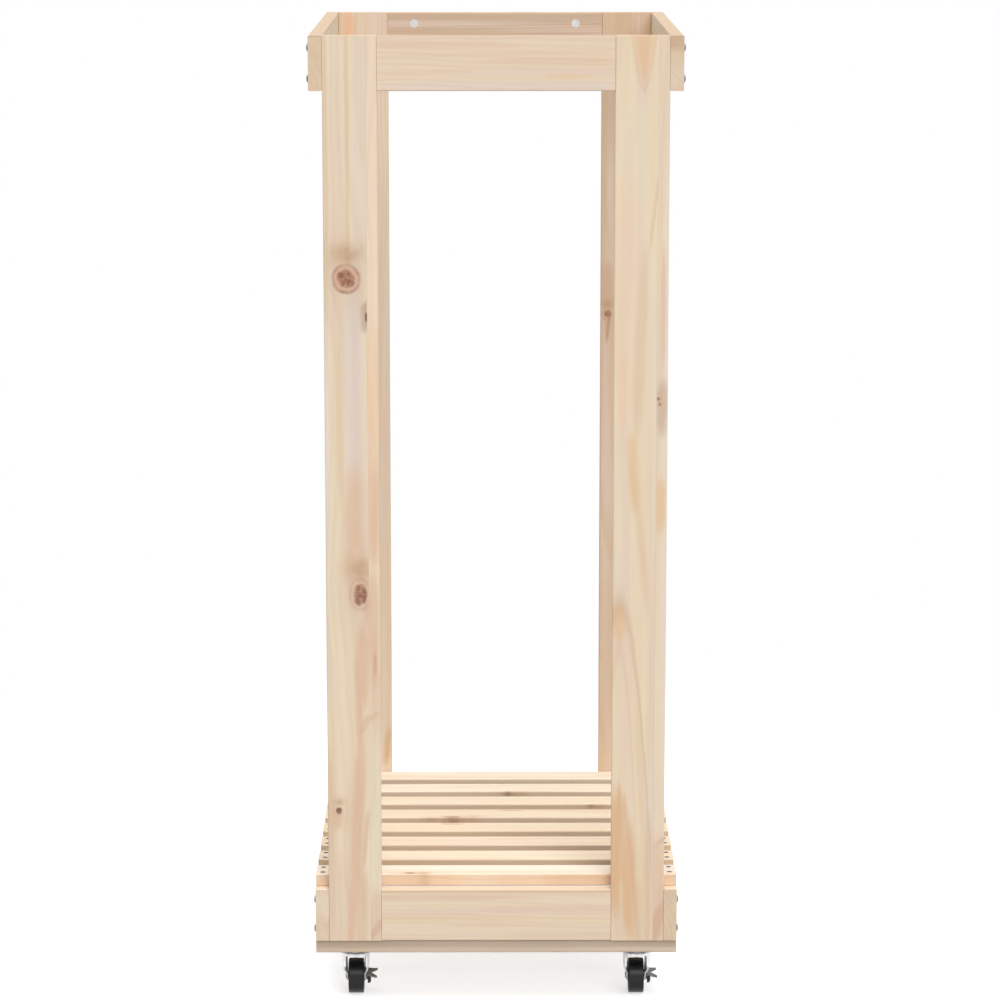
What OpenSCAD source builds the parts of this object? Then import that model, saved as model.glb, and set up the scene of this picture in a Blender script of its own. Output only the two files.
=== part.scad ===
// Fireside log cart: a tall pine frame with a slatted deck, on four swivel casters.
// The front faces -Y, the right side faces +X and +Z is up. The origin is on the floor,
// below the middle of the cart.

/* [Cart] */
// Width across the side boards
cart_w = 410; // [370:5:520]
// Depth from the front face to the rear face
cart_d = 490; // [450:5:600]
// Height from the floor to the top rim
cart_h = 1100; // [700:10:1400]

/* [Timber] */
// Thickness of the posts, rails, side boards and base boards
board_t = 15; // [13:1:20]
// Width of those boards
board_w = 60; // [52:1:75]
// Rounding of the long edges
edge_r = 1.5; // [0.5:0.5:2.5]
// Width of a deck slat
slat_w = 38; // [32:1:44]
// Thickness of a deck slat
slat_t = 14; // [11:1:18]
// Gap between the end slats and the posts
slat_gap = 0.5; // [0.3:0.1:3]
// How far the base boards stand back from the front and rear faces
base_inset = 3; // [0:1:6]

/* [Frame bolts] */
// Diameter of the connector bolts
bolt_d = 6; // [5:0.5:7]
// Diameter of their round heads
bolt_head_d = 9; // [9:0.5:12]
// Height of the heads
bolt_head_h = 2.3; // [2:0.1:3.5]
// Distance of each bolt from the nearer edge of its board
bolt_edge = 13; // [11:1:18]
// Diameter of the barrel nuts
nut_d = 10; // [9:0.5:12]
// Length of the barrel nuts
nut_len = 12.5; // [11:0.5:13]
// Distance from the end of a rail to the axis of its nuts
nut_inset = 32; // [24:1:38]

/* [Screws] */
// Shank diameter of the slat screws
slat_screw_d = 3.5; // [3:0.5:4]
// Head diameter of the slat screws
slat_screw_head_d = 6.4; // [6:0.2:8]
// Length of the slat screws
slat_screw_len = 40; // [30:1:50]
// Distance between the two screws at a slat's end
slat_screw_pitch = 20; // [16:1:22]
// Shank diameter of the base screws
base_screw_d = 4; // [3:0.5:5]
// Head diameter of the base screws
base_screw_head_d = 7.6; // [7:0.2:9]
// Length of the base screws
base_screw_len = 45; // [35:1:50]

/* [Casters] */
// Height of a caster from the floor to the top of its plate
caster_h = 62; // [60:1:75]
// Distance from the side of the cart to a caster's swivel axis
caster_inset = 44; // [36:1:60]
// Side of the square top plate
plate_w = 38; // [36:1:44]
// Thickness of the top plate
plate_t = 2; // [1.5:0.5:3]
// Distance between the plate's screw holes
plate_hole_pitch = 28; // [27:0.5:30]
// Distance from the swivel axis back to the axle
trail = 18; // [14:1:20]
// Diameter of the wheel
wheel_d = 40; // [36:1:42]
// Width of the tyre
wheel_w = 17.5; // [14:0.5:18]
// Diameter of the axle
axle_d = 4.5; // [4:0.5:6]
// Width of the fork across its crown
fork_w = 31; // [29:0.5:32]
// Clear width between the fork's legs at the axle
fork_gap = 19.4; // [19:0.1:20.4]
// Thickness of the fork's sheet steel
sheet_t = 1.5; // [1:0.1:2]
// Diameter of the kingpin
king_d = 6; // [5:0.5:7]
// Diameter of the race's balls
ball_d = 4; // [3:0.5:4.5]
// Diameter of the circle on which the balls run
race_d = 19; // [18:0.5:20]

/* [Brake] */
// Thickness of the pedal's steel
pedal_t = 1.5; // [1:0.1:1.8]
// Reach of the pedal's tabs from the wheel's middle plane
pedal_reach = 24; // [22:0.5:28]
// Distance of the tabs' far corners in front of and behind the axle
pedal_half_l = 17; // [15:0.5:18]
// Radius of the brake cam
cam_r = 9; // [8:0.5:10]
// Thickness of the brake cam
cam_t = 3.8; // [3.5:0.1:5.5]

/* [Hidden] */
$fn = 64;

PINE = "#E6CFAB";
PINE_SLAT = "#F0DDBD";
ZINC = "#C9CCCE";
STEEL = "#8E9194";
BLACK = "#1D1E20";

// Sides and ends of the cart
LEFT = -1;
RIGHT = 1;
FRONT = -1;
REAR = 1;

// Small distances
fit = 0.05;         // radial clearance of a shaft or screw in its hole
run_gap = 0.3;      // face clearance between pieces that move past each other
cut = 1;            // how far a cutting tool stands out of what it cuts
lap = 1;            // how far shapes of one piece run into each other

// Levels and lengths of the frame
frame_z = caster_h + board_t;
deck_z = frame_z + board_w;
top_z = cart_h - board_w;
rail_l = cart_w - 2 * board_t - 2 * board_w;

// Connector bolts and barrel nuts
bolt_past_nut = 3;
bolt_dome_r = bolt_head_d * 0.75;
bolt_len = board_t + board_w + nut_inset + bolt_past_nut;
bolt_hole_r = bolt_d / 2 + 0.25;
bolt_hole_end = 7;
bolt_y = cart_d / 2 - board_t / 2;
socket_af = 4;
socket_deep = 1.6;
nut_slot_w = 1.2;
nut_slot_deep = 0.8;

// Deck
slat_count = 8;
slat_y0 = -cart_d / 2 + board_t + slat_gap;
slat_step = (-2 * slat_y0 - slat_w) / (slat_count - 1);
side_mid_x = cart_w / 2 - board_t / 2;

// Countersunk screws
sink_angle = 45;
recess_af = 2.4;
recess_deep = 1.2;

// Base boards: screws into the rail above and into the two side boards
base_y = cart_d / 2 - base_inset - board_w / 2;
rail_screw_inset = nut_inset + bolt_past_nut + bolt_hole_end + 20;
rail_screw_x = rail_l / 2 - rail_screw_inset;
side_screw_edge = 18;
side_screw_y = cart_d / 2 - board_w + side_screw_edge;

// Casters
caster_x = cart_w / 2 - caster_inset;
caster_y = base_y;
wheel_r = wheel_d / 2;
axle_z = wheel_r;
plate_z = caster_h - plate_t;
plate_corner_r = 4;
plate_screw_d = 3.8;
plate_screw_head_d = 6.8;
plate_screw_head_h = 2;
plate_screw_len = 12;
king_flange_r = king_d / 2 + 2;
king_flange_h = 1;
king_head_r = 6.5;
king_head_h = 2;
king_chamfer = 0.8;

// Ball race: the plate's ring above, the fork's crown below
race_gap = 0.8;
race_h = 3.4;
race_wall = 1.4;
race_ring_r = race_d / 2 + ball_d / 2 + race_wall;
ball_play = 0.1;
ball_count = 12;
ball_z = plate_z - race_h - race_gap / 2;

// Fork, in the caster's own frame: swivel axis at x = y = 0, wheel behind it
crown_top_z = ball_z - race_gap / 2;
crown_t = ball_d / 2 + 1.8;
crown_z = crown_top_z - crown_t;
crown_round = 1.2;
boss_r = king_d / 2 + 4.5;
boss_h = 1.2;
leg_in = fork_gap / 2;
leg_out = leg_in + sheet_t;
shoulder_z = crown_z - 9;
flank_end_z = axle_z + 6.5;
flank_dx = fork_w / 2 - leg_out;
flank_dz = shoulder_z - flank_end_z;
flank_r = (flank_dx * flank_dx + flank_dz * flank_dz) / (2 * flank_dx);
flank_tail = 1.5;
leg_front = 8;
leg_back = 12;
leg_knee = 4;
leg_end_r = axle_d / 2 + 3.5;

// Axle and wheel
rivet_r = axle_d / 2 + 1;
rivet_h = 1.2;
hub_r = axle_d / 2 + 3;
washer_t = 0.8;
washer_r = hub_r + 1;
hub_half = leg_in - run_gap;
hub_half_braked = leg_in - washer_t - run_gap;
tyre_t = 3.7;
tyre_round = 1.2;
rim_t = 3;
rim_half = wheel_w / 2 - 0.8;
web_half = 1.5;
rib_count = 6;
rib_t = 1.4;
rib_half = rim_half - 1.2;

// Brake: pedal plate against the leg, cam outside it, both on the axle's long end
pedal_x = leg_out + run_gap;
cam_x = pedal_x + pedal_t;
cam_end_x = cam_x + cam_t;
cam_round = 2.6;
axle_in_cam = 1.5;
long_end_x = cam_x + axle_in_cam;
pedal_boss_r = axle_d / 2 + 2.5;
tab_root_z = 4.8;
tab_tip_z = 2.6;
tab_run = pedal_reach - pedal_x - pedal_t / 2;
tab_drop = tab_root_z - tab_tip_z;
tab_r = (tab_run * tab_run + tab_drop * tab_drop) / (2 * tab_drop);
tab_tip_w = 4.5;
tab_root_half_l = 12.5;
notch_half_l = 2;
notch_x = cam_end_x + 0.6;
pedal_edge = 2.5;
cam_gap = 0.1;

// ---------- helpers ----------

// Rounded rectangle from the origin to [a, b]
module section(a, b, r = edge_r) {
    translate([r, 0]) square([a - 2 * r, b]);
    translate([0, r]) square([a, b - 2 * r]);
    for (x = [r, a - r], y = [r, b - r])
        translate([x, y]) circle(r);
}

// Boards from the origin to [x, y, z], with the long edges rounded
module plank_z(x, y, z) linear_extrude(z) section(x, y);
module plank_x(x, y, z) rotate([90, 0, 90]) linear_extrude(x) section(y, z);
module plank_y(x, y, z) translate([0, y, 0]) rotate([90, 0, 0]) linear_extrude(y) section(x, z);

// A piece drawn at the left front, carried to another side or end of the cart
module to_side(side) mirror([side == RIGHT ? 1 : 0, 0, 0]) children();
module to_end(end) mirror([0, end == REAR ? 1 : 0, 0]) children();

// Cylinder along +X from x0 to x1
module bar_x(r, x0, x1) translate([x0, 0, 0]) rotate([0, 90, 0]) cylinder(h = x1 - x0, r = r);

function bolt_levels(z0) = [z0 + bolt_edge, z0 + board_w - bolt_edge];
function slat_y(i) = slat_y0 + i * slat_step;

// ---------- frame ----------

// Bolt holes of the left front corner, through side board and post into the rail
module bolt_holes(z0) {
    for (z = bolt_levels(z0))
        translate([-cart_w / 2, -bolt_y, z]) bar_x(bolt_hole_r, -cut, bolt_len + bolt_hole_end);
}

// Blind holes for the barrel nuts, open on the rail's inner face
module nut_holes(z0) {
    for (z = bolt_levels(z0))
        translate([-rail_l / 2 + nut_inset, -cart_d / 2 + board_t + cut, z])
            rotate([90, 0, 0]) cylinder(h = nut_len + fit + cut, r = nut_d / 2 + fit);
}

module post(side, end) {
    color(PINE) to_side(side) to_end(end) difference() {
        translate([-cart_w / 2 + board_t, -cart_d / 2, frame_z])
            plank_z(board_w, board_t, cart_h - frame_z);
        bolt_holes(frame_z);
        bolt_holes(top_z);
    }
}

module rail(end, z0) {
    color(PINE) to_end(end) difference() {
        translate([-rail_l / 2, -cart_d / 2, z0]) plank_x(rail_l, board_t, board_w);
        for (side = [LEFT, RIGHT]) to_side(side) {
            bolt_holes(z0);
            nut_holes(z0);
        }
        if (z0 == frame_z)
            rail_screw_places() base_screw_hole();
    }
}

module side_board(side, z0) {
    color(PINE) to_side(side) difference() {
        translate([-cart_w / 2, -cart_d / 2, z0]) plank_y(board_t, cart_d, board_w);
        for (end = [FRONT, REAR]) to_end(end) bolt_holes(z0);
        if (z0 == frame_z) {
            for (i = [0 : slat_count - 1]) left_slat_screw_places(i) slat_screw_hole();
            for (end = [FRONT, REAR]) to_end(end) left_side_screw_place() base_screw_hole();
        }
    }
}

module slat(i) {
    color(PINE_SLAT) difference() {
        translate([-cart_w / 2, slat_y(i), deck_z]) plank_x(cart_w, slat_w, slat_t);
        for (side = [LEFT, RIGHT]) to_side(side) left_slat_screw_places(i) slat_screw_hole();
    }
}

module base_board(end) {
    color(PINE) to_end(end) difference() {
        translate([-cart_w / 2, -base_y - board_w / 2, caster_h])
            plank_x(cart_w, board_w, board_t);
        front_base_screw_places() base_screw_hole();
        for (side = [LEFT, RIGHT]) to_side(side)
            translate([-caster_x, -caster_y, 0]) plate_hole_places()
                cylinder(h = plate_z + plate_screw_len + fit, r = plate_screw_d / 2 + fit);
    }
}

// ---------- fasteners ----------

// Places of the two screws at a slat's left end, on the slat's top face
module left_slat_screw_places(i) {
    for (s = [-1, 1])
        translate([-side_mid_x, slat_y(i) + slat_w / 2 + s * slat_screw_pitch / 2, deck_z + slat_t])
            children();
}

// Places of the base screws, on the underside of the base board
module rail_screw_places() {
    for (x = [-rail_screw_x, 0, rail_screw_x])
        translate([x, -bolt_y, caster_h]) children();
}
module left_side_screw_place() translate([-side_mid_x, -side_screw_y, caster_h]) children();
module front_base_screw_places() {
    rail_screw_places() children();
    for (side = [LEFT, RIGHT]) to_side(side) left_side_screw_place() children();
}

// Hexagonal recess, open at z = 0
module hex_recess(af, deep) translate([0, 0, -deep])
    cylinder(h = deep + cut, d = af / cos(30), $fn = 6);

// Countersunk screw with its head's face at z = 0 and its shank along -Z
module sunk_body(d, head_d, len, play) {
    sink = (head_d - d) / 2 / tan(sink_angle);
    translate([0, 0, -sink]) cylinder(h = sink, r1 = d / 2 + play, r2 = head_d / 2 + play);
    translate([0, 0, -len - play]) cylinder(h = len + play, r = d / 2 + play);
}
module sunk_screw(d, head_d, len) {
    difference() {
        sunk_body(d, head_d, len, 0);
        hex_recess(recess_af, recess_deep);
    }
}
module sunk_hole(d, head_d, len) {
    sunk_body(d, head_d, len, fit);
    cylinder(h = cut, r = head_d / 2 + fit);
}
module slat_screw_hole() sunk_hole(slat_screw_d, slat_screw_head_d, slat_screw_len);
module base_screw_hole() mirror([0, 0, 1])
    sunk_hole(base_screw_d, base_screw_head_d, base_screw_len);

module slat_screws() {
    color(STEEL) for (side = [LEFT, RIGHT], i = [0 : slat_count - 1])
        to_side(side) left_slat_screw_places(i)
            sunk_screw(slat_screw_d, slat_screw_head_d, slat_screw_len);
}

module base_screws() {
    color(STEEL) for (end = [FRONT, REAR])
        to_end(end) front_base_screw_places() mirror([0, 0, 1])
            sunk_screw(base_screw_d, base_screw_head_d, base_screw_len);
}

// Connector bolt along +X, with its head's seat at x = 0
module frame_bolt() {
    difference() {
        union() {
            bar_x(bolt_d / 2, -bolt_head_h / 2, bolt_len);
            rotate([0, -90, 0]) rotate_extrude() intersection() {
                square([bolt_head_d / 2, bolt_head_h]);
                translate([0, bolt_head_h - bolt_dome_r]) circle(bolt_dome_r);
            }
        }
        translate([-bolt_head_h, 0, 0]) rotate([0, -90, 0]) hex_recess(socket_af, socket_deep);
    }
}

module frame_bolts() {
    color(STEEL) for (side = [LEFT, RIGHT], end = [FRONT, REAR], z0 = [frame_z, top_z])
        to_side(side) to_end(end) for (z = bolt_levels(z0))
            translate([-cart_w / 2, -bolt_y, z]) frame_bolt();
}

module barrel_nut() {
    difference() {
        rotate([90, 0, 0]) cylinder(h = nut_len, r = nut_d / 2);
        translate([0, -board_t / 2, 0]) bar_x(bolt_d / 2 + fit, -nut_d, nut_d);
        translate([-nut_d, -nut_slot_deep, -nut_slot_w / 2])
            cube([2 * nut_d, nut_slot_deep + cut, nut_slot_w]);
    }
}

module barrel_nuts() {
    color(ZINC) for (side = [LEFT, RIGHT], end = [FRONT, REAR], z0 = [frame_z, top_z])
        to_side(side) to_end(end) for (z = bolt_levels(z0))
            translate([-rail_l / 2 + nut_inset, -cart_d / 2 + board_t, z]) barrel_nut();
}

// ---------- casters ----------

// Carries a caster drawn at the origin to its corner; the rear ones are turned round
module at_caster(side, end) {
    translate([side * caster_x, end * caster_y, 0]) rotate(end == REAR ? 180 : 0) children();
}
module at_axle(side, end) at_caster(side, end) translate([0, trail, axle_z]) children();
module every_caster() {
    for (side = [LEFT, RIGHT], end = [FRONT, REAR]) at_caster(side, end) children();
}
module plate_hole_places() {
    for (x = [-1, 1], y = [-1, 1])
        translate([x * plate_hole_pitch / 2, y * plate_hole_pitch / 2, 0]) children();
}

// Groove in which the balls run
module race_groove() translate([0, 0, ball_z]) rotate_extrude()
    translate([race_d / 2, 0]) circle(ball_d / 2 + ball_play);

module caster_plate(side, end) {
    color(ZINC) at_caster(side, end) difference() {
        union() {
            translate([-plate_w / 2, -plate_w / 2, plate_z])
                linear_extrude(plate_t) section(plate_w, plate_w, plate_corner_r);
            translate([0, 0, plate_z - race_h]) cylinder(h = race_h + plate_t / 2, r = race_ring_r);
        }
        race_groove();
        translate([0, 0, plate_z - race_h - cut])
            cylinder(h = race_h + plate_t + 2 * cut, r = king_d / 2 + fit);
        translate([0, 0, caster_h - king_flange_h - fit])
            cylinder(h = king_flange_h + fit + cut, r = king_flange_r + fit);
        translate([0, 0, plate_z - cut]) plate_hole_places()
            cylinder(h = plate_t + 2 * cut, r = plate_screw_d / 2 + fit);
    }
}

module caster_screws() {
    color(STEEL) every_caster() plate_hole_places() difference() {
        union() {
            translate([0, 0, plate_z - plate_screw_head_h])
                cylinder(h = plate_screw_head_h, r = plate_screw_head_d / 2);
            translate([0, 0, plate_z - plate_screw_head_h])
                cylinder(h = plate_screw_head_h + plate_screw_len, r = plate_screw_d / 2);
        }
        translate([0, 0, plate_z - plate_screw_head_h]) mirror([0, 0, 1])
            hex_recess(recess_af, recess_deep);
    }
}

module kingpins() {
    king_low_z = crown_z - boss_h - run_gap - king_head_h;
    color(STEEL) every_caster() {
        translate([0, 0, king_low_z]) cylinder(h = caster_h - king_low_z, r = king_d / 2);
        translate([0, 0, king_low_z])
            cylinder(h = king_head_h, r1 = king_head_r - king_chamfer, r2 = king_head_r);
        translate([0, 0, caster_h - king_flange_h]) cylinder(h = king_flange_h, r = king_flange_r);
    }
}

module race_balls() {
    color(STEEL) every_caster() for (i = [0 : ball_count - 1])
        rotate(i * 360 / ball_count) translate([race_d / 2, 0, ball_z]) sphere(ball_d / 2);
}

// Solid under the crown: straight down to the shoulder, then an arc that draws in
module bell(inset) {
    rotate_extrude() {
        translate([0, shoulder_z]) square([fork_w / 2 - inset, crown_top_z - crown_round - shoulder_z]);
        intersection() {
            translate([fork_w / 2 - flank_r, shoulder_z]) circle(flank_r - inset, $fn = 180);
            translate([0, flank_end_z - flank_tail])
                square([fork_w / 2, shoulder_z - flank_end_z + flank_tail]);
        }
    }
}

// Point where the line from p touches the circle c, r; turn is +1 or -1
function touch(p, c, r, turn) =
    let (d = p - c, a = atan2(d[1], d[0]) + turn * acos(r / norm(d)))
    c + r * [cos(a), sin(a)];

// Side outline of a leg, from the crown back and down to the axle
module leg_outline() {
    end_c = [trail, axle_z];
    knee = [-leg_front, shoulder_z - leg_knee];
    heel = [leg_back, shoulder_z];
    polygon([
        [-leg_front, crown_z + lap], knee, touch(knee, end_c, leg_end_r, 1),
        end_c, touch(heel, end_c, leg_end_r, -1), heel, [leg_back, crown_z + lap]
    ]);
    translate(end_c) circle(leg_end_r);
}

// Sheet of both legs: rounded below the crown, flat towards the axle
module leg_sheet() {
    difference() {
        bell(0);
        bell(sheet_t);
        translate([-leg_in, -fork_w, 0]) cube([2 * leg_in, 2 * fork_w, crown_z]);
    }
    difference() {
        for (s = [-1, 1])
            translate([s * (leg_in + sheet_t / 2) - sheet_t / 2, -leg_front - cut, 0])
                cube([sheet_t, leg_front + trail + 2 * leg_end_r, crown_z]);
        bell(sheet_t);
    }
}

module crown() {
    translate([0, 0, crown_z]) cylinder(h = crown_t - crown_round, r = fork_w / 2);
    translate([0, 0, crown_top_z - crown_round])
        cylinder(h = crown_round, r1 = fork_w / 2, r2 = fork_w / 2 - crown_round);
    translate([0, 0, crown_z - boss_h]) cylinder(h = boss_h + lap, r = boss_r);
}

module fork(side, end) {
    color(ZINC) at_caster(side, end) difference() {
        union() {
            crown();
            intersection() {
                translate([-fork_w, 0, 0]) rotate([90, 0, 90]) linear_extrude(2 * fork_w) leg_outline();
                leg_sheet();
            }
        }
        race_groove();
        translate([0, 0, crown_z - boss_h - cut])
            cylinder(h = boss_h + crown_t + 2 * cut, r = king_d / 2 + fit);
        translate([0, trail, axle_z]) bar_x(axle_d / 2 + fit, -fork_w, fork_w);
    }
}

module axle(side, end) {
    long = end == FRONT;
    color(STEEL) at_axle(side, end) {
        bar_x(axle_d / 2, -leg_out - rivet_h / 2, long ? long_end_x : leg_out + rivet_h / 2);
        bar_x(rivet_r, -leg_out - rivet_h, -leg_out);
        if (!long) bar_x(rivet_r, leg_out, leg_out + rivet_h);
    }
}

module wheel_core(side, end) {
    rim_r = wheel_r - tyre_t;
    hub_right = end == FRONT ? hub_half_braked : hub_half;
    color(BLACK) at_axle(side, end) difference() {
        union() {
            bar_x(hub_r, -hub_half, hub_right);
            bar_x(rim_r - rim_t / 2, -web_half, web_half);
            difference() {
                bar_x(rim_r, -rim_half, rim_half);
                bar_x(rim_r - rim_t, -rim_half - cut, rim_half + cut);
            }
            for (i = [0 : rib_count - 1]) rotate([i * 360 / rib_count, 0, 0])
                translate([-rib_half, -rib_t / 2, hub_r - lap])
                    cube([2 * rib_half, rib_t, rim_r - rim_t / 2 - hub_r + lap]);
        }
        bar_x(axle_d / 2 + fit, -fork_gap, fork_gap);
    }
}

module tyre(side, end) {
    color(BLACK) at_axle(side, end) difference() {
        rotate([0, 90, 0]) translate([0, 0, -wheel_w / 2]) rotate_extrude() {
            square([wheel_r - tyre_round, wheel_w]);
            translate([0, tyre_round]) square([wheel_r, wheel_w - 2 * tyre_round]);
            for (y = [tyre_round, wheel_w - tyre_round])
                translate([wheel_r - tyre_round, y]) circle(tyre_round);
        }
        bar_x(wheel_r - tyre_t + fit, -wheel_w, wheel_w);
    }
}

// ---------- brake of a front caster ----------

module brake_washer(side) {
    color(STEEL) at_axle(side, FRONT) difference() {
        bar_x(washer_r, leg_in - washer_t, leg_in);
        bar_x(axle_d / 2 + fit, 0, fork_gap);
    }
}

// Round bar along Y whose underside is the sloping sheet of the tabs
module tab_roll(r) {
    translate([pedal_reach, 0, tab_tip_z + tab_r]) rotate([90, 0, 0])
        cylinder(h = 4 * pedal_half_l, r = r, center = true, $fn = 120);
}

// Two tabs that spread outwards like a fish's tail
module pedal_tabs() {
    intersection() {
        difference() {
            tab_roll(tab_r + pedal_t / 2);
            tab_roll(tab_r - pedal_t / 2);
        }
        linear_extrude(tab_root_z + pedal_t)
            polygon([
                [pedal_x, -tab_root_half_l], [pedal_reach, -pedal_half_l],
                [pedal_reach, tab_tip_w - pedal_half_l], [notch_x, -notch_half_l],
                [notch_x, notch_half_l], [pedal_reach, pedal_half_l - tab_tip_w],
                [pedal_reach, pedal_half_l], [pedal_x, tab_root_half_l]
            ]);
    }
}

module brake_pedal(side) {
    color(STEEL) at_axle(side, FRONT) difference() {
        union() {
            pedal_tabs();
            bar_x(pedal_boss_r, pedal_x, cam_x);
            translate([pedal_x, 0, 0]) rotate([90, 0, 90]) linear_extrude(pedal_t)
                polygon([
                    [-pedal_boss_r, 0], [pedal_boss_r, 0],
                    [tab_root_half_l, tab_root_z - pedal_edge], [tab_root_half_l, tab_root_z],
                    [-tab_root_half_l, tab_root_z], [-tab_root_half_l, tab_root_z - pedal_edge]
                ]);
        }
        bar_x(axle_d / 2 + fit, 0, fork_w);
    }
}

module brake_cam(side) {
    color(BLACK) at_axle(side, FRONT) difference() {
        translate([cam_x, 0, 0]) rotate([0, 90, 0]) rotate_extrude() {
            square([cam_r - cam_round, cam_t]);
            square([cam_r, cam_t - cam_round]);
            intersection() {
                translate([cam_r - cam_round, cam_t - cam_round]) circle(cam_round);
                square([cam_r, cam_t]);
            }
        }
        tab_roll(tab_r + pedal_t / 2 + cam_gap);
        bar_x(axle_d / 2 + fit, 0, long_end_x + fit);
    }
}

// ---------- nodes ----------

post(LEFT, FRONT);  // post_front_left
post(RIGHT, FRONT);  // post_front_right
post(LEFT, REAR);  // post_rear_left
post(RIGHT, REAR);  // post_rear_right
rail(FRONT, top_z);  // top_rail_front
rail(REAR, top_z);  // top_rail_rear
rail(FRONT, frame_z);  // bottom_rail_front
rail(REAR, frame_z);  // bottom_rail_rear
side_board(LEFT, top_z);  // top_side_board_left
side_board(RIGHT, top_z);  // top_side_board_right
side_board(LEFT, frame_z);  // bottom_side_board_left
side_board(RIGHT, frame_z);  // bottom_side_board_right
for (i = [0 : slat_count - 1])
    slat(i);
base_board(FRONT);  // base_board_front
base_board(REAR);  // base_board_rear
frame_bolts();
barrel_nuts();
slat_screws();
base_screws();
caster_screws();
kingpins();
race_balls();
caster_plate(LEFT, FRONT);  // plate_front_left
caster_plate(RIGHT, FRONT);  // plate_front_right
caster_plate(LEFT, REAR);  // plate_rear_left
caster_plate(RIGHT, REAR);  // plate_rear_right
fork(LEFT, FRONT);  // fork_front_left
fork(RIGHT, FRONT);  // fork_front_right
fork(LEFT, REAR);  // fork_rear_left
fork(RIGHT, REAR);  // fork_rear_right
axle(LEFT, FRONT);  // axle_front_left
axle(RIGHT, FRONT);  // axle_front_right
axle(LEFT, REAR);  // axle_rear_left
axle(RIGHT, REAR);  // axle_rear_right
wheel_core(LEFT, FRONT);  // wheel_core_front_left
wheel_core(RIGHT, FRONT);  // wheel_core_front_right
wheel_core(LEFT, REAR);  // wheel_core_rear_left
wheel_core(RIGHT, REAR);  // wheel_core_rear_right
tyre(LEFT, FRONT);  // tyre_front_left
tyre(RIGHT, FRONT);  // tyre_front_right
tyre(LEFT, REAR);  // tyre_rear_left
tyre(RIGHT, REAR);  // tyre_rear_right
brake_washer(LEFT);  // brake_washer_left
brake_washer(RIGHT);  // brake_washer_right
brake_pedal(LEFT);  // brake_pedal_left
brake_pedal(RIGHT);  // brake_pedal_right
brake_cam(LEFT);  // brake_cam_left
brake_cam(RIGHT);  // brake_cam_right
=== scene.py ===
import math

import bpy
import numpy as np
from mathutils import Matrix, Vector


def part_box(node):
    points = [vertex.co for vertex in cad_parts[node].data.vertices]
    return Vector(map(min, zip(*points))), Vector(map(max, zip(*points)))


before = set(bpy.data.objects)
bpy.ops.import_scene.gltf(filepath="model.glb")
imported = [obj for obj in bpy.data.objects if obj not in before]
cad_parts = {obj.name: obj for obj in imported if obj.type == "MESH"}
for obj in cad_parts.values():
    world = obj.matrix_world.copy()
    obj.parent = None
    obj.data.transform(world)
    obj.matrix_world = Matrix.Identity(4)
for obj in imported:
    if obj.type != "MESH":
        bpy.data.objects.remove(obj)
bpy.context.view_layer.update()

# Fireside log cart in planed pine, on four swivel casters. Metres in the meshes, millimetres in
# the timber patterns. The front faces -Y, the right side faces +X and +Z is up.

MM_PER_M = 1000.0
X_AXIS, Y_AXIS, Z_AXIS = (1, 0, 0), (0, 1, 0), (0, 0, 1)
WHITE = (1, 1, 1, 1)


# ---------- camera, light and floor ----------

CAMERA_PLACE = (-0.0116, -4.285, 1.337)
CAMERA_DOWN = 10.52                         # degrees below the horizon
CAMERA_TURN = -0.225                        # degrees about Z; below zero is to the right
CAMERA_LENS, CAMERA_SENSOR = 133.0, 36.0    # mm
CAMERA_CLIP = (0.1, 60.0)
WORLD_LIGHT = 0.60                          # on surfaces; the eye sees a world of strength 1
FLOOR_BOUNCE = (0.36, 0.36, 0.36, 1)        # the floor's colour as it lights the cart
FLOOR_LOOK = (0.70, 0.70, 0.70, 1)          # its colour to the eye, under its glow
FLOOR_GLOW = 0.56
FLOOR_ROUGHNESS = 0.9
FLOOR_HALF = 3.0                            # half the side of the floor
FLOOR_SOLID, FLOOR_FADED = 0.75, 1.5        # where it starts to fade, and where it is white

# Lamps: name, strength, softness in degrees, turn about Z from the front, height above horizon
LAMPS = (
    ("key", 1.35, 40, 20, 37),
    ("overhead", 1.5, 50, 10, 80),
)


def make_camera():
    """The camera stands in front, a little left of the middle and above the rim, and looks
    slightly down."""
    data = bpy.data.cameras.new("camera")
    data.lens, data.sensor_width = CAMERA_LENS, CAMERA_SENSOR
    data.clip_start, data.clip_end = CAMERA_CLIP
    camera = bpy.data.objects.new("camera", data)
    camera.location = CAMERA_PLACE
    camera.rotation_euler = (math.radians(90 - CAMERA_DOWN), 0, math.radians(CAMERA_TURN))
    bpy.context.scene.collection.objects.link(camera)
    bpy.context.scene.camera = camera


def make_lamps():
    """Soft suns: each shines from its turn and height towards the cart."""
    for name, strength, softness, turn, height in LAMPS:
        data = bpy.data.lights.new(name, "SUN")
        data.energy = strength
        data.angle = math.radians(softness)
        lamp = bpy.data.objects.new(name, data)
        lamp.rotation_euler = (math.radians(90 - height), 0, math.radians(turn))
        bpy.context.scene.collection.objects.link(lamp)


# ---------- node trees ----------

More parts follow.
